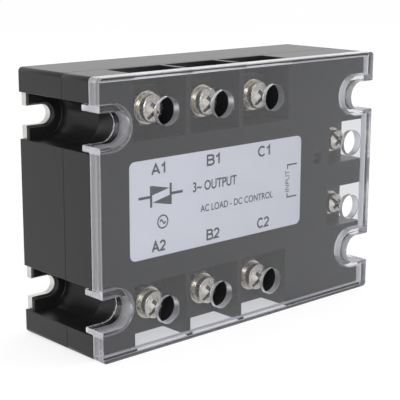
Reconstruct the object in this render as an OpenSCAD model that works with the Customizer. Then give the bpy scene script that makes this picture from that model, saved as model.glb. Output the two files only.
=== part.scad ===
// Three-phase solid state relay with a clear lift-off cover.
// Every piece is drawn on the bench, mounting face down: X to the right, Y up the front, and Z the level
// above the mounting face. stand() then turns it to its working frame: X right, front towards -Y, Z up.
// The origin is the centre of the mounting face.

/* [Overall size] */
// Width, left to right
body_w = 105; // [104:0.5:108]
// Height, across the two rows of output terminals
body_h = 74; // [74:0.5:78]
// Depth, from the mounting face to the front of the cover
body_d = 35.4; // [35.4:0.2:38]
// Radius of the four upright corners
corner_r = 1.2; // [0.8:0.1:1.4]

/* [Base plate] */
// Thickness of the metal base plate
plate_t = 2; // [1.8:0.1:2.2]
// How far the plate lies inside the housing's outline
plate_inset = 1; // [0.8:0.1:1.1]
// Width of each open mounting slot
slot_w = 5.3; // [5.2:0.1:5.8]
// Distance from the side to the centre of a slot's round end
slot_reach = 6; // [5.8:0.1:6.2]
// Distance between the upper and the lower slots
slot_pitch = 48; // [47:0.5:49]

/* [Housing] */
// Thickness of the outer walls
wall_t = 2.4; // [2.2:0.1:2.6]
// Thickness of the walls around wells and recesses
rib_t = 1.6; // [1.4:0.1:1.8]
// Thickness of the front panel
panel_t = 2.4; // [2:0.1:2.6]
// Level of the seam between the rear and the front housing
seam_level = 19.7; // [19.3:0.1:20]
// Radius of the round end of each mounting recess
recess_r = 6.3; // [6.2:0.1:6.4]
// Distance from the side to the centre of a recess's round end
recess_reach = 5.5; // [5.3:0.1:5.6]
// Thickness of the recess floor that lies on the plate
recess_floor_t = 1.2; // [1:0.1:1.4]

/* [Clear cover] */
// Thickness of the cover's front
cover_t = 2.4; // [2:0.1:2.6]
// Depth of the rim that stands on the housing
rim_depth = 4.5; // [4.3:0.1:4.7]
// Thickness of the rim
rim_t = 1.2; // [1.1:0.1:1.4]
// Depth of the collars that drop into the mounting recesses
collar_depth = 7.5; // [7:0.1:8]
// Thickness of the collar walls
collar_t = 1.7; // [1.5:0.1:1.8]
// Gap between a collar and its recess
collar_gap = 0.3; // [0.3:0.05:0.4]
// Diameter of the holes for the screwdriver
access_d = 7.4; // [7:0.1:8]

/* [Terminals] */
// Distance between the output terminals of a row
column_pitch = 19.8; // [19.7:0.1:20.2]
// Place of the middle column, from the middle of the relay
middle_column_x = -10.3; // [-10.6:0.1:-10]
// Distance of each row's screws from the middle
row_y = 26.8; // [26.7:0.1:27.1]
// Half the width of an output well
well_half_w = 9; // [8.8:0.1:9.1]
// Distance from the middle to the wells' inner walls
well_inner_y = 19.3; // [19:0.1:19.5]
// Level of the output wells' floor
well_floor = 21.1; // [21:0.1:21.4]
// Place of the input screws, from the middle of the relay
input_x = 43.7; // [43.5:0.1:44.1]
// Distance of each input screw from the middle
input_y = 10; // [9.8:0.1:10.2]
// Half the width of an input well
input_half_w = 6.2; // [6:0.1:6.3]
// Place of the input wells' inner wall
input_inner_x = 37; // [36.8:0.1:37.4]
// Level of the input wells' floor
input_floor = 22.4; // [22:0.1:22.6]

/* [Screws and washers] */
// Length of every terminal screw under its head
shank_len = 10; // [9.5:0.5:10]
// Thickness of the flat washers
washer_t = 0.8; // [0.6:0.1:0.9]
// Thickness of the spring washers
spring_t = 0.9; // [0.8:0.1:1]
// Radius of an output screw's thread
thread_r = 2; // [1.9:0.05:2]
// Pitch of an output screw's thread
pitch = 0.7; // [0.6:0.05:0.8]
// Radius of an output screw's head
head_r = 3.8; // [3.6:0.1:4]
// Height of an output screw's head
head_h = 3; // [2.5:0.1:3.1]
// Radius of an output screw's flat washer
washer_r = 4.5; // [4.3:0.05:4.7]
// Radius of an output screw's spring washer
spring_r = 3.5; // [3.4:0.05:3.6]
// Radius of an input screw's thread
input_thread_r = 1.75; // [1.6:0.05:1.8]
// Pitch of an input screw's thread
input_pitch = 0.6; // [0.5:0.05:0.7]
// Radius of an input screw's head
input_head_r = 3.1; // [3:0.1:3.4]
// Height of an input screw's head
input_head_h = 2.3; // [2.1:0.1:2.5]
// Radius of an input screw's flat washer
input_washer_r = 3.8; // [3.6:0.1:4]
// Radius of an input screw's spring washer
input_spring_r = 2.9; // [2.8:0.05:3]

/* [Hidden] */
$fn = 64;
eps = 0.01;
past = 2;              // how far a cutter runs past an outer face

// levels above the mounting face
cover_back = body_d - cover_t;
front_level = body_d - rim_depth;
collar_back = body_d - collar_depth;
panel_back = front_level - panel_t;
recess_floor = plate_t + recess_floor_t;
skirt_level = 0.2;     // the housing stops short of the mounting face, so the plate seats first
bar_t = 1.1;           // thickness of the copper bars
bar_top = 25;          // level of the faces that the cable lugs lie on
bar_back = bar_top - bar_t;
head_level = bar_top + washer_t + spring_t;
washer_gap = 0.2;      // gap between a thread and its washers
nut_t = 3.2;
nut_w = 6.4;
input_nut_w = 5.5;
nut_gap = 0.15;
nut_floor = bar_back - nut_t - nut_gap;
board_level = 11;      // underside of the control board
board_t = 1.6;
board_top = board_level + board_t;

// screws that hold the plate, and their countersunk holes
plate_hole_r = 1.7;
plate_screw_len = 8;
plate_screw_r = 1.4;
plate_screw_head_r = 2.9;
plate_screw_head_h = 1.4;
plate_screw_sunk = 0.25;

// tongues that join the two halves of the housing
tongue_t = 0.8;
tongue_h = 1.4;
tongue_half_len = 14;
tongue_gap = 0.1;

// terminal bars, in a terminal's own frame: the screw at the origin and the open side towards +Y
bar_half_w = 3.2;
bar_out_y = 3.2;
input_bar_half_w = 2.6;
input_bar_out_y = 2.6;
leg_half_w = 2.2;
leg_y = -4.6;          // inner face of the leg
foot_y = -12.4;
screw_gap = 0.3;       // gap between a thread and the hole it passes through
screw_hole_floor = head_level - shank_len - 1;
pedestal_half_w = 5.4;
pedestal_out_y = 5.6;
pin_half_w = 1.2;      // half the width of an input bar's leg

// substrates and power chips
phase_x = [for (i = [-1 : 1]) middle_column_x + i * column_pitch];
substrate_half_w = 8;
substrate_half_h = 23.6;
substrate_t = 0.7;
track_t = 0.3;
track_half_w = 7.2;
track_near_y = 4;
track_far_y = 23.2;
chip_w = 8;
chip_t = 0.4;
chip_y = 8.8;
track_level = plate_t + substrate_t;
chip_level = track_level + track_t;
pin_r = 0.4;
gate_pad_x = 2.6;
gate_pad_y = 1.7;
gate_pad_w = 2.4;
potting_level = 7.4;

// control board and its components
board_half_w = 49;
board_half_h = 15.4;
post_x = 46;
post_y = 10;
post_r = 3;
post_hole_r = 1.5;
web_t = 2;             // thickness of the web that ties a post to the side wall
led_x = 31.5;
led_y = 6.2;
led_r = 1.5;
led_hole_r = 1.7;
led_top = front_level - 1.1;
led_flange_level = led_top - 5.2;
lead_gap = 1.27;

// label
label_w = 64.9;
label_h = 26.6;
label_x = -8.2;
label_y = 0.8;
label_r = 1.8;
label_t = 0.15;

// [name, screw X, screw Y, turn, half width of the well, level of its floor]
OUTPUTS = [
    for (row = [1, 2], i = [0 : 2]) [
        str(["a", "b", "c"][i], row), phase_x[i], row == 1 ? row_y : -row_y,
        row == 1 ? 0 : 180, well_half_w, well_floor
    ]
];
INPUTS = [
    ["in_plus", input_x, input_y, -90, input_half_w, input_floor],
    ["in_minus", input_x, -input_y, -90, input_half_w, input_floor]
];
TERMINALS = concat(OUTPUTS, INPUTS);
PHASES = ["a", "b", "c"];

function is_output(t) = t[3] != -90;
function thread_of(t) = is_output(t) ? thread_r : input_thread_r;
function head_of(t) = is_output(t) ? head_r : input_head_r;
function nut_of(t) = is_output(t) ? nut_w : input_nut_w;
// local Y of a well's inner wall and of the outer face it opens through
function inner_y(t) = is_output(t) ? well_inner_y - row_y : input_inner_x - input_x;
function outer_y(t) = is_output(t) ? body_h / 2 - row_y : body_w / 2 - input_x;

// ---------------------------------------------------------------- helpers

module stand() {
    rotate([90, 0, 0]) children();
}

// a flat shape made solid between two levels
module slab(low, high) {
    translate([0, 0, low]) linear_extrude(high - low) children();
}

module rounded_rectangle(w, h, r) {
    square([w - 2 * r, h], center = true);
    square([w, h - 2 * r], center = true);
    for (i = [-1, 1], j = [-1, 1])
        translate([i * (w / 2 - r), j * (h / 2 - r)]) circle(r);
}

// the housing's outline, moved inwards
module outline(inset = 0) {
    rounded_rectangle(body_w - 2 * inset, body_h - 2 * inset, max(corner_r - inset, 0.4));
}

// the four mounting places, seen with +X pointing out of the nearest side
module at_recesses() {
    for (side = [-1, 1], row = [-1, 1])
        translate([side * body_w / 2, row * slot_pitch / 2])
            rotate(side > 0 ? 0 : 180)
                children();
}

// a slot with a round end, open through the side and run on by over
module open_slot(r, reach, over = past) {
    translate([-reach, 0]) circle(r);
    translate([-reach, -r]) square([reach + over, 2 * r]);
}

module at_terminal(t) {
    translate([t[1], t[2], 0]) rotate([0, 0, t[3]]) children();
}

module at_terminals(list) {
    for (t = list) at_terminal(t) children();
}

module box(x0, x1, y0, y1, z0, z1) {
    translate([x0, y0, z0]) cube([x1 - x0, y1 - y0, z1 - z0]);
}

module ring(outer_r, inner_r, low, high) {
    slab(low, high) difference() {
        circle(outer_r);
        circle(inner_r);
    }
}

// ---------------------------------------------------------------- housing

module base_plate() {
    sink_r = plate_screw_head_r + plate_screw_sunk + 0.1;
    color("gainsboro") stand() difference() {
        slab(0, plate_t) rounded_rectangle(
            body_w - 2 * plate_inset, body_h - 2 * plate_inset, corner_r
        );
        slab(-past, plate_t + past) at_recesses() open_slot(slot_w / 2, slot_reach);
        for (i = [-1, 1], j = [-1, 1]) translate([i * post_x, j * post_y, 0]) {
            translate([0, 0, -eps]) cylinder(h = plate_t + past, r = plate_hole_r);
            translate([0, 0, -eps])
                cylinder(h = sink_r - plate_hole_r + eps, r1 = sink_r, r2 = plate_hole_r);
        }
    }
}

// the walls around the mounting recesses
module recess_blocks(low, high) {
    slab(low, high) intersection() {
        outline();
        at_recesses() open_slot(recess_r + rib_t, recess_reach, 0);
    }
}

module recess_cuts(low, high) {
    slab(low, high) at_recesses() open_slot(recess_r, recess_reach);
}

// the tongues on the two side walls, grown by gap for the grooves they fill
module tongues(gap, low, high) {
    for (side = [-1, 1])
        translate([side * (body_w / 2 - wall_t + tongue_t / 2), 0, low])
            translate([-tongue_t / 2 - gap, -tongue_half_len - gap, 0])
                cube([tongue_t + 2 * gap, 2 * (tongue_half_len + gap), high - low]);
}

module rear_housing() {
    plate_gap = 0.1;
    slot_gap = 0.55;
    color("dimgray") stand() difference() {
        union() {
            difference() {
                slab(skirt_level, seam_level) outline();
                slab(plate_t, seam_level + past) outline(wall_t);
            }
            recess_blocks(plate_t, seam_level);
            tongues(0, seam_level - 1, seam_level + tongue_h);
            // posts that hold the plate's screws and the control board
            for (i = [-1, 1], j = [-1, 1]) {
                translate([i * post_x, j * post_y, plate_t])
                    cylinder(h = board_level - plate_t, r = post_r);
                translate([i > 0 ? post_x : -body_w / 2 + 1, j * post_y - web_t / 2, plate_t])
                    cube([body_w / 2 - 1 - post_x, web_t, board_level - plate_t - 2]);
            }
        }
        // pocket for the plate
        slab(-past, plate_t) outline(plate_inset - plate_gap);
        // the recesses, above their floors and out through the side
        recess_cuts(recess_floor, seam_level + tongue_h + past);
        slab(-past, recess_floor + past) at_recesses()
            translate([-plate_inset, -recess_r]) square([plate_inset + past, 2 * recess_r]);
        slab(-past, recess_floor + past) at_recesses()
            open_slot(slot_w / 2 + slot_gap, slot_reach);
        for (i = [-1, 1], j = [-1, 1])
            translate([i * post_x, j * post_y, plate_t - eps])
                cylinder(h = board_level - plate_t - 1, r = post_hole_r);
    }
}

// the solid block around one terminal well
module well_block(t) {
    box(
        -t[4] - rib_t, t[4] + rib_t, inner_y(t) - rib_t, outer_y(t) - eps,
        max(t[5] - rib_t, seam_level), front_level
    );
}

// the space of one well, around the pedestal that carries its bar
module well_space(t) {
    difference() {
        box(-t[4], t[4], inner_y(t), outer_y(t) + past, t[5], front_level + past);
        box(
            -pedestal_half_w, pedestal_half_w, leg_y + bar_t + 0.1, pedestal_out_y,
            t[5] - 1, bar_back
        );
    }
}

// the nut's pocket, the blind hole under it and the slot for the bar's leg
module well_cuts(t) {
    half_nut = nut_of(t) / 2 + nut_gap;
    half_slot = (is_output(t) ? leg_half_w : pin_half_w) + 0.2;
    // the pocket runs on to the leg, which is too near for a wall between them
    box(-half_nut, half_nut, leg_y + bar_t - 0.4, half_nut, nut_floor, bar_back + eps);
    translate([0, 0, screw_hole_floor])
        cylinder(h = bar_back - screw_hole_floor, r = thread_of(t) + screw_gap);
    box(
        -half_slot, half_slot, leg_y - 0.2, leg_y + bar_t + 0.1,
        screw_hole_floor - past, t[5] + eps
    );
}

module front_housing() {
    tube_r = thread_r + screw_gap + rib_t;
    nut_block_t = 1.4;     // below the nut's pocket
    nut_wall_t = 1;        // around it
    color("dimgray") stand() difference() {
        union() {
            difference() {
                slab(seam_level, front_level) outline();
                slab(seam_level - past, panel_back) outline(wall_t);
            }
            recess_blocks(seam_level, front_level);
            for (t = TERMINALS) at_terminal(t) {
                well_block(t);
                slab(nut_floor - nut_block_t, t[5])
                    square(nut_of(t) + 2 * (nut_gap + nut_wall_t), center = true);
                translate([0, 0, screw_hole_floor - 1])
                    cylinder(h = t[5] - screw_hole_floor, r = tube_r);
            }
        }
        for (t = TERMINALS) at_terminal(t) {
            well_space(t);
            well_cuts(t);
        }
        recess_cuts(seam_level - past, front_level + past);
        // grooves for the tongues
        tongues(tongue_gap, seam_level - past, seam_level + tongue_h + tongue_gap);
        translate([led_x, led_y, panel_back - past])
            cylinder(h = panel_t + 2 * past, r = led_hole_r);
    }
}

module front_label() {
    color("lavender") stand() translate([label_x, label_y, 0])
        slab(front_level, front_level + label_t) rounded_rectangle(label_w, label_h, label_r);
}

// ---------------------------------------------------------------- clear cover

module clear_cover() {
    collar_out_r = recess_r - collar_gap;
    collar_in_r = collar_out_r - collar_t;
    color([0.85, 0.87, 0.92, 0.35]) stand() difference() {
        union() {
            slab(cover_back, body_d) outline();
            slab(front_level, body_d) difference() {
                outline();
                outline(rim_t);
            }
            slab(collar_back, body_d) intersection() {
                outline();
                at_recesses() open_slot(collar_out_r, recess_reach, 0);
            }
        }
        slab(collar_back - past, body_d + past) at_recesses()
            open_slot(collar_in_r, recess_reach);
        at_terminals(TERMINALS)
            translate([0, 0, cover_back - past]) cylinder(h = cover_t + 2 * past, d = access_d);
    }
}

// ---------------------------------------------------------------- power stage

module substrate(x) {
    color("white") stand() translate([x, 0, 0])
        slab(plate_t, track_level)
            square([2 * substrate_half_w, 2 * substrate_half_h], center = true);
}

module copper_tracks() {
    color("peru") stand() for (x = phase_x) translate([x, 0, 0]) {
        for (row = [-1, 1])
            slab(track_level, chip_level)
                translate([0, row * (track_near_y + track_far_y) / 2])
                    square([2 * track_half_w, track_far_y - track_near_y], center = true);
        for (i = [-1, 1], j = [-1, 1])
            slab(track_level, chip_level)
                translate([i * gate_pad_x, j * gate_pad_y])
                    square(gate_pad_w, center = true);
    }
}

module thyristor_chips() {
    color("slategray") stand() for (x = phase_x, row = [-1, 1])
        slab(chip_level, chip_level + chip_t)
            translate([x, row * chip_y]) square(chip_w, center = true);
}

module gate_pins() {
    color("silver") stand() for (x = phase_x, i = [-1, 1], j = [-1, 1])
        translate([x + i * gate_pad_x, j * gate_pad_y, chip_level])
            cylinder(h = board_level - chip_level, r = pin_r);
}

// soft gel that fills the bottom of the housing around the power stage
module potting_compound() {
    gap = 0.1;
    color("darkslateblue") stand() difference() {
        slab(plate_t, potting_level) outline(wall_t + gap);
        slab(plate_t - past, potting_level + past) at_recesses()
            open_slot(recess_r + rib_t + gap, recess_reach);
        for (i = [-1, 1], j = [-1, 1]) {
            translate([i * post_x, j * post_y, 0])
                cylinder(h = potting_level + past, r = post_r + gap);
            translate([i > 0 ? post_x : -body_w / 2, j * post_y - web_t / 2 - gap, 0])
                cube([body_w / 2 - post_x, web_t + 2 * gap, potting_level + past]);
        }
        for (x = phase_x) {
            translate([x, 0, 0]) slab(plate_t - past, chip_level)
                square([2 * substrate_half_w, 2 * substrate_half_h], center = true);
            for (row = [-1, 1])
                translate([x, row * chip_y, 0]) slab(chip_level - eps, chip_level + chip_t)
                    square(chip_w, center = true);
            for (i = [-1, 1], j = [-1, 1])
                translate([x + i * gate_pad_x, j * gate_pad_y, 0])
                    cylinder(h = potting_level + past, r = pin_r + gap);
        }
        at_terminals(OUTPUTS) {
            box(-leg_half_w - gap, leg_half_w + gap, foot_y - gap, leg_y + bar_t + gap,
                chip_level - eps, chip_level + bar_t + gap);
            box(-leg_half_w - gap, leg_half_w + gap, leg_y - gap, leg_y + bar_t + gap,
                chip_level - eps, potting_level + past);
        }
    }
}

// a copper bar from a substrate up to the terminal: foot, leg and drilled top
module busbar(t) {
    color("goldenrod") stand() at_terminal(t) difference() {
        union() {
            box(-leg_half_w, leg_half_w, foot_y, leg_y + bar_t, chip_level, chip_level + bar_t);
            box(-leg_half_w, leg_half_w, leg_y, leg_y + bar_t, chip_level, bar_top);
            // the neck is as narrow as the leg, so only the drilled end is wide
            box(-leg_half_w, leg_half_w, leg_y, 0, bar_back, bar_top);
            box(-bar_half_w, bar_half_w, -bar_out_y, bar_out_y, bar_back, bar_top);
        }
        translate([0, 0, bar_back - past])
            cylinder(h = bar_t + 2 * past, r = thread_r + screw_gap);
    }
}

// a shorter bar from the control board up to an input terminal
module input_terminal(t) {
    color("goldenrod") stand() at_terminal(t) difference() {
        union() {
            box(-pin_half_w, pin_half_w, leg_y, leg_y + bar_t, board_top, bar_top);
            box(-pin_half_w, pin_half_w, leg_y, 0, bar_back, bar_top);
            box(
                -input_bar_half_w, input_bar_half_w, -input_bar_out_y, input_bar_out_y,
                bar_back, bar_top
            );
        }
        translate([0, 0, bar_back - past])
            cylinder(h = bar_t + 2 * past, r = input_thread_r + screw_gap);
    }
}

// ---------------------------------------------------------------- control board

module control_board() {
    color("darkgreen") stand() slab(board_level, board_top)
        square([2 * board_half_w, 2 * board_half_h], center = true);
}

// a six-legged package, one for each phase
module optocouplers() {
    body = [8.8, 6.4, 3.4];
    leg = [1.2, 0.3, 2.4];
    leg_pitch = 2.54;
    color("black") stand() for (x = phase_x) translate([x, 0, board_top]) {
        translate([-body[0] / 2, -body[1] / 2, 0.6]) cube(body);
        for (i = [-1 : 1], side = [-1, 1])
            translate([i * leg_pitch - leg[0] / 2, side * (body[1] + leg[1]) / 2 - leg[1] / 2, 0])
                cube(leg);
    }
}

module snubber_capacitors() {
    body = [12.6, 4.8, 10.8];
    capacitor_y = 9.6;
    foot_x = 5;
    color("firebrick") stand() for (x = phase_x) translate([x, capacitor_y, board_top]) {
        translate([-body[0] / 2, -body[1] / 2, 0.5]) cube(body);
        for (side = [-1, 1])
            translate([side * foot_x, 0, 0]) cylinder(h = 1, r = 0.4);
    }
}

// one resistor lying along X: coated body with thicker ends, and its bent wires
module resistor() {
    body_r = 1.3;
    end_r = 1.6;
    half_len = 3.4;
    end_len = 1.6;
    wire_r = 0.35;
    wire_x = 5;
    lift = end_r + 0.3;
    translate([0, 0, lift]) rotate([0, 90, 0]) {
        translate([0, 0, -half_len]) cylinder(h = 2 * half_len, r = body_r);
        for (side = [-1, 1])
            translate([0, 0, side * (half_len - end_len / 2) - end_len / 2])
                cylinder(h = end_len, r = end_r);
        translate([0, 0, -wire_x]) cylinder(h = 2 * wire_x, r = wire_r);
    }
    for (side = [-1, 1])
        translate([side * wire_x, 0, 0]) cylinder(h = lift + wire_r, r = wire_r);
}

module gate_resistors() {
    color("burlywood") stand() for (x = phase_x, y = [-8, -12.4])
        translate([x, y, board_top]) resistor();
}

// a three-legged regulator with one flat side
module input_regulator() {
    case_r = 2.3;
    case_h = 4.6;
    leg_h = 2;
    flat_x = -1.2;
    regulator_x = 27;
    regulator_y = -7;
    color("black") stand() translate([regulator_x, regulator_y, board_top]) {
        translate([0, 0, leg_h]) intersection() {
            cylinder(h = case_h, r = case_r);
            box(flat_x, case_r, -case_r, case_r, 0, case_h);
        }
        for (i = [-1 : 1])
            translate([-0.2, i * lead_gap - 0.2, 0]) cube([0.4, 0.4, leg_h + eps]);
    }
}

module status_led() {
    flange_r = 1.9;
    straight = led_top - led_r - led_flange_level;
    color("maroon") stand() translate([led_x, led_y, 0]) {
        translate([0, 0, led_flange_level]) cylinder(h = 1, r = flange_r);
        translate([0, 0, led_flange_level]) cylinder(h = straight, r = led_r);
        translate([0, 0, led_top - led_r]) intersection() {
            sphere(led_r);
            cylinder(h = led_r, r = led_r);
        }
    }
}

module led_leads() {
    lead_w = 0.5;
    color("silver") stand() for (side = [-1, 1])
        translate([led_x + side * lead_gap - lead_w / 2, led_y - lead_w / 2, board_top])
            cube([lead_w, lead_w, led_flange_level - board_top]);
}

// ---------------------------------------------------------------- fasteners

// countersunk screws that hold the plate to the rear housing
module plate_screws() {
    cross_half_len = 1.6;
    cross_half_w = 0.35;
    cross_depth = 0.9;
    color("silver") stand() for (i = [-1, 1], j = [-1, 1])
        translate([i * post_x, j * post_y, plate_screw_sunk]) difference() {
            union() {
                cylinder(h = plate_screw_head_h, r1 = plate_screw_head_r, r2 = plate_screw_r);
                cylinder(h = plate_screw_len, r = plate_screw_r);
            }
            for (turn = [0, 90]) rotate(turn)
                box(-cross_half_len, cross_half_len, -cross_half_w, cross_half_w, -1, cross_depth);
        }
}

module terminal_nuts() {
    nut_play = 0.1;
    color("silver") stand() for (t = TERMINALS) at_terminal(t) difference() {
        slab(bar_back - nut_t, bar_back) square(nut_of(t), center = true);
        translate([0, 0, bar_back - nut_t - 1])
            cylinder(h = nut_t + 2, r = thread_of(t) + nut_play);
    }
}

// the thread as rings at its pitch, with a pointed end
module shank(r, turn_pitch) {
    root_r = r - 0.35;
    turns = floor((shank_len - 1) / turn_pitch);
    threaded = turns * turn_pitch;
    rotate_extrude() polygon(concat(
        [[0, 0], [root_r, 0]],
        [for (i = [0 : turns - 1], k = [0, 1])
            [k == 0 ? root_r : r, -shank_len + threaded - (i + k / 2) * turn_pitch]],
        [[root_r, -shank_len], [0, -shank_len]]
    ));
}

// pan head with a cross recess and a slot across it
module terminal_screw(t) {
    r = head_of(t);
    h = is_output(t) ? head_h : input_head_h;
    dome_r = 7;        // radius of the head's top, seen from the side
    cross_w = 1.1;
    cross_reach = 0.58 * r;
    cross_depth = 1.5;
    slot_depth = 0.9;
    slot_width = 0.9;
    top = h + 1;
    color("silver") stand() at_terminal(t) translate([0, 0, head_level]) difference() {
        union() {
            shank(thread_of(t), is_output(t) ? pitch : input_pitch);
            intersection() {
                cylinder(h = h, r = r);
                translate([0, 0, h - dome_r]) sphere(dome_r, $fn = 96);
            }
        }
        for (turn = [45, 135]) rotate(turn)
            box(-cross_reach, cross_reach, -cross_w / 2, cross_w / 2, h - cross_depth, top);
        rotate(45)
            box(-r - 1, r + 1, -slot_width / 2, slot_width / 2, h - slot_depth, top);
    }
}

module spring_washer(t) {
    split = 0.7;
    outer_r = is_output(t) ? spring_r : input_spring_r;
    color("silver") stand() at_terminal(t) difference() {
        ring(outer_r, thread_of(t) + washer_gap, bar_top + washer_t, head_level);
        rotate(20) box(0, outer_r + 1, -split / 2, split / 2, bar_top, head_level + 1);
    }
}

module flat_washer(t) {
    outer_r = is_output(t) ? washer_r : input_washer_r;
    color("silver") stand() at_terminal(t)
        ring(outer_r, thread_of(t) + washer_gap, bar_top, bar_top + washer_t);
}

// ---------------------------------------------------------------- assembly

base_plate();
rear_housing();
front_housing();
clear_cover();
front_label();
for (i = [0 : 2]) substrate(phase_x[i]);
copper_tracks();
thyristor_chips();
gate_pins();
potting_compound();
control_board();
optocouplers();
snubber_capacitors();
gate_resistors();
input_regulator();
status_led();
led_leads();
plate_screws();
terminal_nuts();
for (t = OUTPUTS) busbar(t);
for (t = INPUTS) input_terminal(t);
for (t = TERMINALS) terminal_screw(t);
for (t = TERMINALS) spring_washer(t);
for (t = TERMINALS) flat_washer(t);
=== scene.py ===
"""Looks of a three-phase solid state relay: black housing, metal plate, screw terminals and clear cover.

Everything is in metres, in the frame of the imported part: X right, front towards -Y, Z up.
"""

import math

import bmesh
import bpy
from mathutils import Matrix, Vector

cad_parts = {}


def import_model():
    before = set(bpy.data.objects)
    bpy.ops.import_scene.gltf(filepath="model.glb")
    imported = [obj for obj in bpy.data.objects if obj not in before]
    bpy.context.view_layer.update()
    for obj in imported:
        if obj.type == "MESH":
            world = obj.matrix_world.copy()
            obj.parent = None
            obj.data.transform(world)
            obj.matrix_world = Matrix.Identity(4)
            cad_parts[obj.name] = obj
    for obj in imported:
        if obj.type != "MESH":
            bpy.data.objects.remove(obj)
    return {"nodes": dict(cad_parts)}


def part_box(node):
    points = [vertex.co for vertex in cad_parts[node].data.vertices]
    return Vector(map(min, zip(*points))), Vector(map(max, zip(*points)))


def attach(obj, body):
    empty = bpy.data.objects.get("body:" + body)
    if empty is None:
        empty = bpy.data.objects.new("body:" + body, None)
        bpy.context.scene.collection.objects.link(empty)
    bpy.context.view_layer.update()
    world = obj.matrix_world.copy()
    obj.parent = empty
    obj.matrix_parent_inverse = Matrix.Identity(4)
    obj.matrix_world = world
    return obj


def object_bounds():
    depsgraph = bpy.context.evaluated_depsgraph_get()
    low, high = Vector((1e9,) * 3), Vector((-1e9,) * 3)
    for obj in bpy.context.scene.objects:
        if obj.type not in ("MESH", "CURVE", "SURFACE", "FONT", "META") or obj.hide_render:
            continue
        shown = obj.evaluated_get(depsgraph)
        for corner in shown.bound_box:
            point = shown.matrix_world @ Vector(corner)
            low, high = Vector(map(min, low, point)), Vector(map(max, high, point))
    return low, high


MM = 0.001

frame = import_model()
NODES = frame["nodes"]
cad_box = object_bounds()

# middles of the first two terminal columns, left to right, and the distance between them
COLUMN_A, COLUMN_B = (sum(corner.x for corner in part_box(f"substrate_{phase}")) / 2 for phase in "ab")
COLUMN_PITCH = COLUMN_B - COLUMN_A
# half the length of a gate resistor's body
RESISTOR_HALF = 3.6 * MM

# the clear cover: depth of its rim, height of the slots, and outer radius of a collar
RIM_DEPTH = 4.5 * MM
SLOT_Z = 24 * MM
COLLAR_R = 6.1 * MM
# how near the outline a wall counts as an outer one, how milky those walls are from the cover's front
# (0) to the rim's back (1), and how milky and rough the holes' walls are; this cloud is partly the thick
# plastic's own and partly painted light, its bright and dark bands standing in for light carried inside
# it
EDGE_BAND = 0.6 * MM
RIM_CLOUD_AND_LIGHT = ((0.0, 0.75), (0.08, 0.75), (0.16, 0.45), (0.45, 0.5), (0.52, 0.1), (0.84, 0.12), (0.9, 1.0))
HOLE_CLOUD_AND_LIGHT = 0.35
RIM_ROUGHNESS = 0.08
HOLE_ROUGHNESS = 0.4
# a face belongs to a wall where its normal leans less than this towards the front, and to the end of a
# collar's arm where it leans more than this to the side
WALL_LEAN = 0.5
ARM_END_LEAN = 0.8
# transmission weight of the cloudiest plastic, where the painted light is strongest; clear plastic has 1
CLOUD_AND_LIGHT_TRANSMISSION = 0.45


# ---------------------------------------------------------------- material helpers


def material(name, **constants):
    """A node material; constants go on the Principled shader's own sockets, with _ for each space."""
    made = bpy.data.materials.new(name)
    made.use_nodes = True
    shader = made.node_tree.nodes["Principled BSDF"]
    for socket, value in constants.items():
        shader.inputs[socket.replace("_", " ")].default_value = value
    return made, shader


def node(made, kind, **settings):
    new = made.node_tree.nodes.new(kind)
    for key, value in settings.items():
        setattr(new, key, value)
    return new


def link(made, source, target):
    made.node_tree.links.new(source, target)


def position(made, stretch=(1, 1, 1)):
    """The point on the piece in its own metres, stretched along the axes."""
    place = node(made, "ShaderNodeTexCoord")
    mapping = node(made, "ShaderNodeMapping")
    mapping.inputs["Scale"].default_value = stretch
    link(made, place.outputs["Object"], mapping.inputs["Vector"])
    return mapping.outputs["Vector"]


def noise(made, size, detail=2.0, stretch=(1, 1, 1)):
    """Noise from 0 to 1 whose patches are about size metres across."""
    pattern = node(made, "ShaderNodeTexNoise")
    pattern.inputs["Scale"].default_value = 1 / size
    pattern.inputs["Detail"].default_value = detail
    link(made, position(made, stretch), pattern.inputs["Vector"])
    return pattern.outputs["Fac"]


def axes_of(made, vector):
    """The X, Y and Z of a vector."""
    split = node(made, "ShaderNodeSeparateXYZ")
    link(made, vector, split.inputs["Vector"])
    return [split.outputs[axis] for axis in "XYZ"]


def math_of(made, operation, first, second=None):
    """One sum on patterns; a number may stand in for the second."""
    result = node(made, "ShaderNodeMath", operation=operation)
    link(made, first, result.inputs[0])
    if isinstance(second, (int, float)):
        result.inputs[1].default_value = second
    elif second is not None:
        link(made, second, result.inputs[1])
    return result.outputs["Value"]


def spread(made, value, low, high, start=0.3, end=0.7):
    """Maps a pattern's start..end to low..high."""
    change = node(made, "ShaderNodeMapRange")
    for key, number in (("From Min", start), ("From Max", end), ("To Min", low), ("To Max", high)):
        change.inputs[key].default_value = number
    link(made, value, change.inputs["Value"])
    return change.outputs["Result"]


def tint(made, value, stops):
    """A colour ramp through (place, colour) stops."""
    ramp = node(made, "ShaderNodeValToRGB")
    elements = ramp.color_ramp.elements
    while len(elements) < len(stops):
        elements.new(1.0)
    for element, (place, colour) in zip(elements, stops):
        element.position = place
        element.color = (*colour, 1)
    link(made, value, ramp.inputs["Fac"])
    return ramp.outputs["Color"]


def relief(made, shader, *layers):
    """Adds bump layers, each (pattern, depth in metres), one on the other."""
    normal = None
    for pattern, depth in layers:
        bump = node(made, "ShaderNodeBump")
        bump.inputs["Strength"].default_value = 1.0
        bump.inputs["Distance"].default_value = depth
        link(made, pattern, bump.inputs["Height"])
        if normal:
            link(made, normal, bump.inputs["Normal"])
        normal = bump.outputs["Normal"]
    link(made, normal, shader.inputs["Normal"])


def surface(name, dark, light, rough, grain, depth, patch=12 * MM, stretch=(1, 1, 1), **constants):
    """A material with patchy colour and roughness, and a fine grain in relief."""
    made, shader = material(name, **constants)
    patches = noise(made, patch, 4.0, stretch)
    fine = noise(made, grain, 3.0, stretch)
    link(made, tint(made, patches, ((0.3, dark), (0.7, light))), shader.inputs["Base Color"])
    link(made, spread(made, fine, *rough), shader.inputs["Roughness"])
    relief(made, shader, (fine, depth))
    return made


# ---------------------------------------------------------------- materials


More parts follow.
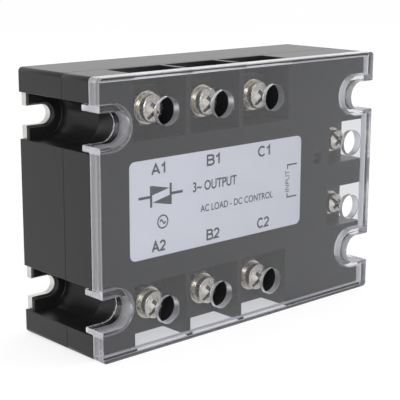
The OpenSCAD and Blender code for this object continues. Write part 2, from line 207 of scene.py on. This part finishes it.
def housing_plastic():
    """Black moulded plastic with a fine spark-eroded texture."""
    return surface(
        "housing_plastic", (0.010, 0.010, 0.0105), (0.014, 0.014, 0.015), (0.30, 0.36),
        0.3 * MM, 0.0006 * MM, 30 * MM, Specular_IOR_Level=0.31,
    )


def clear_plastic():
    """Clear polycarbonate with faint flow ripples, milky where one looks into its thick edges, that
    milkiness partly painted light.
    """
    made, shader = material("clear_plastic", IOR=1.49, Specular_IOR_Level=0.4)
    where = node(made, "ShaderNodeTexCoord")
    nx, ny, _ = axes_of(made, where.outputs["Normal"])
    x, y, z = axes_of(made, where.outputs["Object"])
    across, up = math_of(made, "ABSOLUTE", x), math_of(made, "ABSOLUTE", z)
    # walls as deep as the rim: milky round the outside, less so in the holes, partly as painted light
    wall = math_of(made, "LESS_THAN", math_of(made, "ABSOLUTE", ny), WALL_LEAN)
    plate = math_of(made, "LESS_THAN", y, cad_box[0].y + RIM_DEPTH)
    outside = math_of(made, "MAXIMUM",
                      math_of(made, "GREATER_THAN", across, cad_box[1].x - EDGE_BAND),
                      math_of(made, "GREATER_THAN", up, cad_box[1].z - EDGE_BAND))
    depth = spread(made, y, 0, 1, cad_box[0].y, cad_box[0].y + RIM_DEPTH)
    band = tint(made, depth, [(place, (cloud,) * 3) for place, cloud in RIM_CLOUD_AND_LIGHT])
    edge = math_of(made, "MULTIPLY", math_of(made, "MULTIPLY", wall, plate),
                   math_of(made, "MAXIMUM", math_of(made, "MULTIPLY", outside, band), HOLE_CLOUD_AND_LIGHT))
    # end faces of the collars' arms, milky too, partly as painted light
    end = math_of(made, "GREATER_THAN", math_of(made, "ABSOLUTE", nx), ARM_END_LEAN)
    from_slot = math_of(made, "SUBTRACT", up, SLOT_Z)
    arm = math_of(made, "LESS_THAN", math_of(made, "ABSOLUTE", from_slot), COLLAR_R)
    arm_end = math_of(made, "MULTIPLY", math_of(made, "MULTIPLY", end, arm), outside)
    cloud_and_light = math_of(made, "MAXIMUM", edge, arm_end)
    # the cloud, partly painted light, lowers transmission and shows a lavender base colour
    link(made, spread(made, cloud_and_light, 1.0, CLOUD_AND_LIGHT_TRANSMISSION, 0, 1), shader.inputs["Transmission Weight"])
    link(made, tint(made, cloud_and_light, ((0, (0.70, 0.705, 0.735)), (1, (0.64, 0.63, 0.68)))),
         shader.inputs["Base Color"])
    ripples = noise(made, 9 * MM, 1.0)
    specks = noise(made, 0.8 * MM, 2.0)
    haze = math_of(made, "MULTIPLY", math_of(made, "MULTIPLY", wall, plate),
                   spread(made, outside, HOLE_ROUGHNESS, RIM_ROUGHNESS, 0, 1))
    link(made, math_of(made, "ADD", spread(made, specks, 0.0, 0.012), haze),
         shader.inputs["Roughness"])
    relief(made, shader, (ripples, 0.01 * MM))
    lamp = node(made, "ShaderNodeLightPath")
    through = node(made, "ShaderNodeBsdfTransparent")
    through.inputs["Color"].default_value = (0.95, 0.955, 0.98, 1)
    mix = node(made, "ShaderNodeMixShader")
    link(made, lamp.outputs["Is Shadow Ray"], mix.inputs["Fac"])
    link(made, shader.outputs["BSDF"], mix.inputs[1])
    link(made, through.outputs["BSDF"], mix.inputs[2])
    link(made, mix.outputs["Shader"], made.node_tree.nodes["Material Output"].inputs["Surface"])
    return made


def nickel():
    """Warm nickel plating with small tumbling marks."""
    made, shader = material("nickel", Metallic=1.0)
    marks = noise(made, 0.5 * MM, 3.0)
    cloud = noise(made, 1.6 * MM, 3.0)
    link(made, tint(made, cloud, ((0.3, (0.66, 0.61, 0.52)), (0.6, (0.83, 0.79, 0.70)))),
         shader.inputs["Base Color"])
    link(made, spread(made, marks, 0.16, 0.30), shader.inputs["Roughness"])
    relief(made, shader, (cloud, 0.01 * MM), (marks, 0.006 * MM))
    return made


def punched_nickel():
    """Duller nickel, darkened as painted shade, for the faces inside a punched screw recess."""
    return surface(
        "punched_nickel", (0.06, 0.056, 0.05), (0.13, 0.12, 0.11), (0.4, 0.6), 0.3 * MM, 0.01 * MM,
        0.8 * MM, Metallic=1.0,
    )


def plate_metal():
    """Rolled aluminium, brushed along X."""
    return surface(
        "plate_metal", (0.55, 0.54, 0.51), (0.68, 0.67, 0.64), (0.26, 0.42),
        0.5 * MM, 0.006 * MM, 3 * MM, (0.05, 1, 1), Metallic=1.0,
    )


def label_film():
    """White matt film with the faint mottle of its paper."""
    return surface(
        "label_film", (0.82, 0.83, 0.87), (0.86, 0.87, 0.91), (0.42, 0.52),
        0.25 * MM, 0.003 * MM, 5 * MM,
    )


def ink():
    """Dark grey print, slightly uneven."""
    return surface(
        "ink", (0.045, 0.046, 0.055), (0.075, 0.076, 0.088), (0.4, 0.6), 0.12 * MM, 0.002 * MM,
        0.6 * MM,
    )


def board():
    """Green solder mask over a pattern of straight tracks."""
    made, shader = material("board", Specular_IOR_Level=0.5, Coat_Weight=0.3, Coat_Roughness=0.15)
    tracks = node(made, "ShaderNodeTexBrick")
    for key, number in (("Scale", 1.0), ("Mortar Size", 0.25 * MM), ("Brick Width", 7 * MM),
                        ("Row Height", 1.3 * MM), ("Mortar Smooth", 0.2)):
        tracks.inputs[key].default_value = number
    place = node(made, "ShaderNodeTexCoord")
    turn = node(made, "ShaderNodeMapping")
    turn.inputs["Rotation"].default_value = (math.radians(90), 0, 0)
    link(made, place.outputs["Object"], turn.inputs["Vector"])
    link(made, turn.outputs["Vector"], tracks.inputs["Vector"])
    copper_under = ((0.0, (0.012, 0.075, 0.03)), (1.0, (0.03, 0.15, 0.06)))
    link(made, tint(made, tracks.outputs["Fac"], copper_under), shader.inputs["Base Color"])
    weave = noise(made, 0.4 * MM)
    link(made, spread(made, weave, 0.25, 0.4), shader.inputs["Roughness"])
    relief(made, shader, (tracks.outputs["Fac"], 0.03 * MM))
    return made


def resistor_coat(middle_x, pitch, half_body):
    """Tan lacquer with four colour bands across each resistor's body, and bare wire beyond it."""
    made, shader = material("resistor_coat")
    place = node(made, "ShaderNodeTexCoord")
    x, _, _ = axes_of(made, place.outputs["Object"])
    wrapped = node(made, "ShaderNodeMath", operation="WRAP")
    wrapped.inputs[1].default_value = middle_x + pitch / 2
    wrapped.inputs[2].default_value = middle_x - pitch / 2
    link(made, x, wrapped.inputs[0])
    along = spread(made, wrapped.outputs["Value"], 0, 1, middle_x - half_body, middle_x + half_body)
    tan, wire = (0.50, 0.36, 0.20), (0.55, 0.55, 0.54)
    bands = ((0.0, wire), (0.02, tan), (0.2, (0.25, 0.08, 0.02)), (0.28, tan),
             (0.4, (0.01, 0.01, 0.01)), (0.48, tan), (0.6, (0.4, 0.03, 0.02)), (0.68, tan),
             (0.84, (0.55, 0.4, 0.1)), (0.92, tan), (0.99, wire))
    colour = tint(made, along, bands)
    colour.node.color_ramp.interpolation = "CONSTANT"
    link(made, colour, shader.inputs["Base Color"])
    lacquer = noise(made, 0.5 * MM)
    link(made, spread(made, lacquer, 0.3, 0.5), shader.inputs["Roughness"])
    relief(made, shader, (lacquer, 0.02 * MM))
    return made


MATERIALS = {
    "housing_plastic": housing_plastic(),
    "clear_plastic": clear_plastic(),
    "nickel": nickel(),
    "punched_nickel": punched_nickel(),
    "plate_metal": plate_metal(),
    "label_film": label_film(),
    "ink": ink(),
    "board": board(),
    # metal of the bars, darkened as painted shade for their place in the dark wells and inside the
    # housing
    "bar_metal": surface(
        "bar_metal", (0.30, 0.28, 0.25), (0.44, 0.42, 0.38), (0.35, 0.5), 0.4 * MM, 0.01 * MM,
        4 * MM, (1, 0.2, 1), Metallic=1.0,
    ),
    "ceramic": surface(
        "ceramic", (0.78, 0.78, 0.74), (0.86, 0.86, 0.83), (0.35, 0.5), 0.15 * MM, 0.004 * MM,
    ),
    "copper": surface(
        "copper", (0.55, 0.22, 0.12), (0.72, 0.36, 0.22), (0.2, 0.4), 0.4 * MM, 0.008 * MM,
        3 * MM, Metallic=1.0,
    ),
    "silicon": surface(
        "silicon", (0.10, 0.11, 0.14), (0.16, 0.17, 0.21), (0.08, 0.16), 1 * MM, 0.001 * MM,
        2 * MM, Coat_Weight=0.5,
    ),
    "gel": surface(
        "gel", (0.10, 0.14, 0.24), (0.16, 0.21, 0.33), (0.12, 0.25), 6 * MM, 0.25 * MM,
        18 * MM, Subsurface_Weight=0.3, Subsurface_Scale=4 * MM,
    ),
    "component_black": surface(
        "component_black", (0.012, 0.012, 0.012), (0.02, 0.02, 0.02), (0.45, 0.6), 0.2 * MM,
        0.01 * MM, 2 * MM,
    ),
    "capacitor_case": surface(
        "capacitor_case", (0.28, 0.035, 0.02), (0.38, 0.055, 0.035), (0.15, 0.3), 1.5 * MM,
        0.05 * MM, 5 * MM,
    ),
    "led_lens": surface(
        "led_lens", (0.03, 0.012, 0.010), (0.05, 0.02, 0.016), (0.12, 0.22), 1 * MM, 0.004 * MM,
        2 * MM, Coat_Weight=0.3,
    ),
    "lead_metal": surface(
        "lead_metal", (0.5, 0.5, 0.5), (0.66, 0.66, 0.65), (0.25, 0.4), 0.3 * MM, 0.01 * MM,
        1 * MM, Metallic=1.0,
    ),
}
MATERIALS["resistor_coat"] = resistor_coat(COLUMN_B, COLUMN_PITCH, RESISTOR_HALF)

# the screws' heads, for the painted shade in their recesses: radius of the dome, the plain band round it,
# and how far below the dome the faces of the recess lie
DOME_R = 7 * MM
PLAIN_BAND = 0.1 * MM
RECESS_MIN = 0.06 * MM
RECESS_MAX = 1.6 * MM

# nodes whose name ends in a terminal or a phase share the entry of their stem
LOOK_OF = {
    "base_plate": "plate_metal", "rear_housing": "housing_plastic",
    "front_housing": "housing_plastic", "clear_cover": "clear_plastic",
    "front_label": "label_film", "substrate": "ceramic", "copper_tracks": "copper",
    "thyristor_chips": "silicon", "gate_pins": "lead_metal", "potting_compound": "gel",
    "control_board": "board", "optocouplers": "component_black",
    "snubber_capacitors": "capacitor_case", "gate_resistors": "resistor_coat",
    "input_regulator": "component_black", "status_led": "led_lens", "led_leads": "lead_metal",
    "plate_screws": "nickel", "terminal_nuts": "nickel", "busbar": "bar_metal",
    "terminal": "bar_metal", "screw": "nickel", "spring_washer": "nickel",
    "flat_washer": "nickel",
}


def stem_of(name):
    """The longest key of LOOK_OF that the node's name starts with."""
    return max((key for key in LOOK_OF if name.startswith(key)), key=len)


def paint_recess_shade(name, piece):
    """Gives the nickel darkened as painted shade to the faces of a screw's head that lie below its domed
    top.
    """
    low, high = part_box(name)
    centre_x, centre_z, top = (low.x + high.x) / 2, (low.z + high.z) / 2, low.y
    head_r = (high.x - low.x) / 2
    piece.data.materials.append(MATERIALS["punched_nickel"])
    for face in piece.data.polygons:
        at = piece.matrix_world @ face.center
        out = math.hypot(at.x - centre_x, at.z - centre_z)
        sunk = at.y - top - (DOME_R - math.sqrt(DOME_R ** 2 - out ** 2))
        # faces sunk below the dome inside the head get the painted shade
        if out < head_r - PLAIN_BAND and RECESS_MIN < sunk < RECESS_MAX:
            face.material_index = 1


def paint():
    for name, piece in NODES.items():
        look = MATERIALS[LOOK_OF[stem_of(name)]]
        piece.data.materials.clear()
        piece.data.materials.append(look)
        if stem_of(name) == "screw":
            paint_recess_shade(name, piece)


# ---------------------------------------------------------------- softened edges

# radius of the rounding on each kind of piece
EDGE = {
    "clear_cover": 0.35 * MM, "front_housing": 0.2 * MM, "rear_housing": 0.25 * MM,
    "base_plate": 0.15 * MM, "front_label": 0.03 * MM, "screw": 0.1 * MM,
    "spring_washer": 0.12 * MM, "flat_washer": 0.12 * MM, "busbar": 0.15 * MM,
    "terminal": 0.15 * MM, "plate_screws": 0.08 * MM, "terminal_nuts": 0.15 * MM,
    "potting_compound": 0.2 * MM, "optocouplers": 0.1 * MM, "snubber_capacitors": 0.6 * MM,
    "control_board": 0.1 * MM,
}


def soften(piece, width):
    """Rounds a piece's sharp edges with modifiers; its own mesh stays as it is."""
    weld = piece.modifiers.new("weld", "WELD")
    weld.merge_threshold = 0.001 * MM
    flats = piece.modifiers.new("flats", "DECIMATE")
    flats.decimate_type = "DISSOLVE"
    flats.angle_limit = math.radians(0.6)
    bevel = piece.modifiers.new("bevel", "BEVEL")
    bevel.width = width
    bevel.segments = 3
    bevel.limit_method = "ANGLE"
    bevel.angle_limit = math.radians(32)
    bevel.miter_outer = "MITER_ARC"
    bevel.harden_normals = True
    # a step finer than the rounding would otherwise hold the rounding back over the whole piece
    bevel.use_clamp_overlap = stem_of(piece.name) not in ("front_housing", "rear_housing")


def soften_all():
    for name, piece in NODES.items():
        width = EDGE.get(stem_of(name))
        if width:
            soften(piece, width)


# ---------------------------------------------------------------- print on the label

label_low, label_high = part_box("front_label")
LABEL_FRONT = label_low.y
LABEL_X = (label_low.x + label_high.x) / 2
LABEL_Z = (label_low.z + label_high.z) / 2
PRINT_T = 0.02 * MM
# a mitre is cut short where the cosine of half the corner's turn is below this
MITRE_LIMIT = 0.3
# a terminal mark's line against its height, and the gap between its glyphs in the units of GLYPHS
MARK_LINE = 0.18
MARK_GAP = 0.2


def on_label(mesh_or_bmesh, name):
    """A printed piece that rides on the housing."""
    if isinstance(mesh_or_bmesh, bmesh.types.BMesh):
        mesh = bpy.data.meshes.new(name)
        mesh_or_bmesh.to_mesh(mesh)
        mesh_or_bmesh.free()
    else:
        mesh = mesh_or_bmesh
    piece = bpy.data.objects.new(name, mesh)
    bpy.context.scene.collection.objects.link(piece)
    mesh.materials.clear()
    mesh.materials.append(MATERIALS["ink"])
    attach(piece, "housing")
    return piece


def lettering(words, centre, width, height, weight, turn=0.0):
    """Flat letters as a mesh, fitted to width by height about a centre (x, z) on the label.

    The weight is how far the strokes' outlines are pushed out, in font sizes.
    """
    curve = bpy.data.curves.new("lettering", "FONT")
    curve.body = words
    curve.extrude = 0.5
    curve.offset = weight
    curve.resolution_u = 6
    source = bpy.data.objects.new("lettering", curve)
    mesh = bpy.data.meshes.new_from_object(source)
    bpy.data.objects.remove(source)
    xs, ys = ([v.co[k] for v in mesh.vertices] for k in (0, 1))
    middle = Vector(((min(xs) + max(xs)) / 2, (min(ys) + max(ys)) / 2, 0))
    fit = Matrix.Diagonal((width / (max(xs) - min(xs)), height / (max(ys) - min(ys)), PRINT_T, 1))
    place = Matrix.Translation((centre[0], LABEL_FRONT - PRINT_T / 2, centre[1]))
    upright = Matrix.Rotation(math.radians(90), 4, "X")
    turned = Matrix.Rotation(turn, 4, "Z")
    mesh.transform(place @ upright @ turned @ fit @ Matrix.Translation(-middle))
    return mesh


def prism(bm, outline):
    """A printed patch: the outline's (x, z) corners, given thickness at the label's front."""
    back = [bm.verts.new((x, LABEL_FRONT, z)) for x, z in outline]
    front = [bm.verts.new((x, LABEL_FRONT - PRINT_T, z)) for x, z in outline]
    bm.faces.new(back)
    bm.faces.new(front[::-1])
    for k in range(len(outline)):
        j = (k + 1) % len(outline)
        bm.faces.new((back[j], back[k], front[k], front[j]))


def stroke(bm, points, width):
    """A printed line of even width along (x, z) points, with mitred corners."""
    left, right = [], []
    for k, (x, z) in enumerate(points):
        before = Vector(points[max(k - 1, 0)])
        after = Vector(points[min(k + 1, len(points) - 1)])
        here = Vector((x, z))
        into = (here - before).normalized() if k else (after - here).normalized()
        out = (after - here).normalized() if k < len(points) - 1 else into
        side = Vector((-(into + out).y, (into + out).x)).normalized()
        reach = width / 2 / max(side.dot(Vector((-into.y, into.x))), MITRE_LIMIT)
        left.append(here + side * reach)
        right.append(here - side * reach)
    prism(bm, left + right[::-1])


def bow(x, z, rx, rz, start, end, steps=8):
    """Points on an elliptic arc, angles in degrees."""
    angles = (math.radians(start + (end - start) * k / steps) for k in range(steps + 1))
    return [(x + rx * math.cos(a), z + rz * math.sin(a)) for a in angles]


# strokes of the terminal marks, in a box one high; each glyph also has its width
GLYPHS = {
    "A": (0.78, [[(0, 0), (0.39, 1), (0.78, 0)], [(0.14, 0.33), (0.64, 0.33)]]),
    "B": (0.66, [[(0.4, 0.53), (0, 0.53), (0, 1)] + bow(0.38, 0.765, 0.24, 0.235, 90, -90),
                 [(0, 0.53), (0, 0)] + bow(0.4, 0.265, 0.26, 0.265, -90, 90)]),
    "C": (0.74, [bow(0.39, 0.5, 0.39, 0.5, 42, 318, 16)]),
    "1": (0.34, [[(0.02, 0.76), (0.15, 0.82), (0.31, 1), (0.31, 0)]]),
    "2": (0.6, [bow(0.3, 0.7, 0.28, 0.3, 168, -30, 10) + [(0.03, 0.04), (0.6, 0.04)]]),
}


def mark(words, centre, width, height):
    """A terminal mark, drawn with strokes and fitted to width by height."""
    line = MARK_LINE * height
    total = sum(GLYPHS[letter][0] for letter in words) + MARK_GAP * (len(words) - 1)
    across, tall = (width - line) / total, height - line
    bm = bmesh.new()
    start = 0
    for letter in words:
        glyph_w, strokes = GLYPHS[letter]
        for points in strokes:
            stroke(bm, [(centre[0] + (start + x - total / 2) * across,
                         centre[1] + (z - 0.5) * tall) for x, z in points], line)
        start += glyph_w + MARK_GAP
    return bm


def terminal_marks():
    """A1 to C2, above and below the middle of the label."""
    width, height = 5.0 * MM, 3.2 * MM
    up, shift = 10.5 * MM, -0.8 * MM
    for k, letter in enumerate("ABC"):
        x = COLUMN_A + k * COLUMN_PITCH + shift
        for row, side in (("1", 1), ("2", -1)):
            bm = mark(letter + row, (x, LABEL_Z + side * up), width, height)
            on_label(bm, f"terminal_mark_{letter.lower()}{row}")


def text_lines():
    """What the terminals carry, in two lines."""
    output_at = (LABEL_X - 2.2 * MM, LABEL_Z + 3.7 * MM)
    on_label(lettering("3~ OUTPUT", output_at, 16.5 * MM, 2.8 * MM, 0.02), "output_mark")
    function_at = (LABEL_X + 6.5 * MM, LABEL_Z - 2.7 * MM)
    on_label(lettering("AC LOAD - DC CONTROL", function_at, 28.4 * MM, 2.0 * MM, 0.014), "function_mark")


def input_bracket():
    """A bracket that opens towards the two input terminals, broken by its word."""
    x, z = label_high.x - 5.7 * MM, LABEL_Z + 0.3 * MM
    text_half, text_h, gap = 3.2 * MM, 1.7 * MM, 0.4 * MM
    half, hook, line = 4.8 * MM, 4.0 * MM, 0.45 * MM
    on_label(lettering("INPUT", (x, z), 2 * text_half, text_h, 0.0, math.radians(90)), "input_mark")
    for name, side in (("upper", 1), ("lower", -1)):
        bm = bmesh.new()
        end = (x, z + side * (text_half + gap))
        corner = (x, z + side * half)
        stroke(bm, [end, corner, (x + hook, corner[1])], line)
        on_label(bm, f"input_bracket_{name}")


def thyristor_symbol():
    """Two thyristors one above the other, pointing opposite ways, with their leads."""
    bm = bmesh.new()
    line, base = 0.75 * MM, 0.35 * MM
    x, z = label_low.x + 10.6 * MM, LABEL_Z + 3.3 * MM
    half_w, half_h, lead = 3.4 * MM, 2.9 * MM, 7.7 * MM
    tip = half_w - line / 2
    for side in (-1, 1):
        bar_x = x + side * half_w
        stroke(bm, [(bar_x, z - half_h), (bar_x, z + half_h)], line)
        stroke(bm, [(x + side * lead, z), (bar_x, z)], line)
        base_z, top_z = z + side * base, z + side * half_h
        corners = [(x - side * tip, base_z), (x - side * tip, top_z),
                   (x + side * tip, (base_z + top_z) / 2)]
        prism(bm, corners if side < 0 else corners[::-1])
    on_label(bm, "thyristor_symbol")


def current_symbol():
    """One wave in a ring: alternating current."""
    bm = bmesh.new()
    x, z = label_low.x + 11.2 * MM, LABEL_Z - 4.0 * MM
    ring_r, line, wave, swing, steps = 1.75 * MM, 0.42 * MM, 1.0 * MM, 0.55 * MM, 12
    for start in (0, 180):
        stroke(bm, bow(x, z, ring_r, ring_r, start, start + 180, 16), line)
    sine = [(x + wave * (2 * k / steps - 1), z + swing * math.sin(2 * math.pi * k / steps))
            for k in range(steps + 1)]
    stroke(bm, sine, line)
    on_label(bm, "current_symbol")


def print_label():
    terminal_marks()
    text_lines()
    input_bracket()
    thyristor_symbol()
    current_symbol()


# ---------------------------------------------------------------- floor, light and camera


def floor():
    """A plain pale floor just under the part."""
    half, gap = 4.0, 0.2 * MM
    z = cad_box[0].z - gap
    corners = ((-half, -half), (half, -half), (half, half), (-half, half))
    bm = bmesh.new()
    bm.faces.new([bm.verts.new((x, y, z)) for x, y in corners])
    mesh = bpy.data.meshes.new("floor")
    bm.to_mesh(mesh)
    bm.free()
    made, shader = material(
        "floor", Roughness=0.9, Specular_IOR_Level=0.0, Emission_Color=(1, 1, 1, 1),
        Emission_Strength=0.68,
    )
    link(made, tint(made, noise(made, 0.3), ((0.0, (0.35, 0.35, 0.35)), (1.0, (0.37, 0.37, 0.37)))),
         shader.inputs["Base Color"])
    mesh.materials.append(made)
    plane = bpy.data.objects.new("floor", mesh)
    bpy.context.scene.collection.objects.link(plane)


def world(strength):
    made = bpy.data.worlds.new("studio")
    made.use_nodes = True
    background = made.node_tree.nodes["Background"]
    background.inputs["Color"].default_value = (1, 1, 1, 1)
    background.inputs["Strength"].default_value = strength
    bpy.context.scene.world = made


# each soft light's name, place, size and power
LIGHTS = (
    ("key", (-0.44, -0.50, 0.30), 0.3, 1.8),
    ("fill", (0.62, -0.2, 0.62), 0.4, 0.8),
    ("back", (0.55, 0.62, 0.30), 0.5, 0.25),
)
WORLD_STRENGTH = 0.85


def softbox(name, at, size, power):
    """A square area light aimed at the part's origin."""
    lamp = bpy.data.lights.new(name, "AREA")
    lamp.size = size
    lamp.energy = power
    piece = bpy.data.objects.new(name, lamp)
    piece.location = at
    piece.rotation_euler = (-Vector(at)).to_track_quat("-Z", "Y").to_euler()
    bpy.context.scene.collection.objects.link(piece)


CAMERA_AT = Vector((-0.22205, -0.2565, 0.07011))
CAMERA_YAW = math.radians(42.557)
CAMERA_PITCH = math.radians(12.845)
CAMERA_ROLL = math.radians(0.183)
CAMERA_LENS_MM = 102.92


def camera():
    """The camera, looking down and towards +X +Y, with a slight roll."""
    forward = Vector((
        math.sin(CAMERA_YAW) * math.cos(CAMERA_PITCH),
        math.cos(CAMERA_YAW) * math.cos(CAMERA_PITCH),
        -math.sin(CAMERA_PITCH),
    ))
    level = Vector((math.cos(CAMERA_YAW), -math.sin(CAMERA_YAW), 0))
    over = level.cross(forward)
    right = level * math.cos(CAMERA_ROLL) + over * math.sin(CAMERA_ROLL)
    up = over * math.cos(CAMERA_ROLL) - level * math.sin(CAMERA_ROLL)
    lens = bpy.data.cameras.new("camera")
    lens.lens = CAMERA_LENS_MM
    lens.sensor_width = 36
    lens.clip_start = 0.01
    piece = bpy.data.objects.new("camera", lens)
    turn = Matrix((right, up, -forward)).transposed().to_4x4()
    piece.matrix_world = Matrix.Translation(CAMERA_AT) @ turn
    bpy.context.scene.collection.objects.link(piece)
    bpy.context.scene.camera = piece


# ---------------------------------------------------------------- build

camera()
floor()
world(WORLD_STRENGTH)
for light in LIGHTS:
    softbox(*light)
bpy.context.scene.view_settings.view_transform = "Standard"

paint()
soften_all()
print_label()
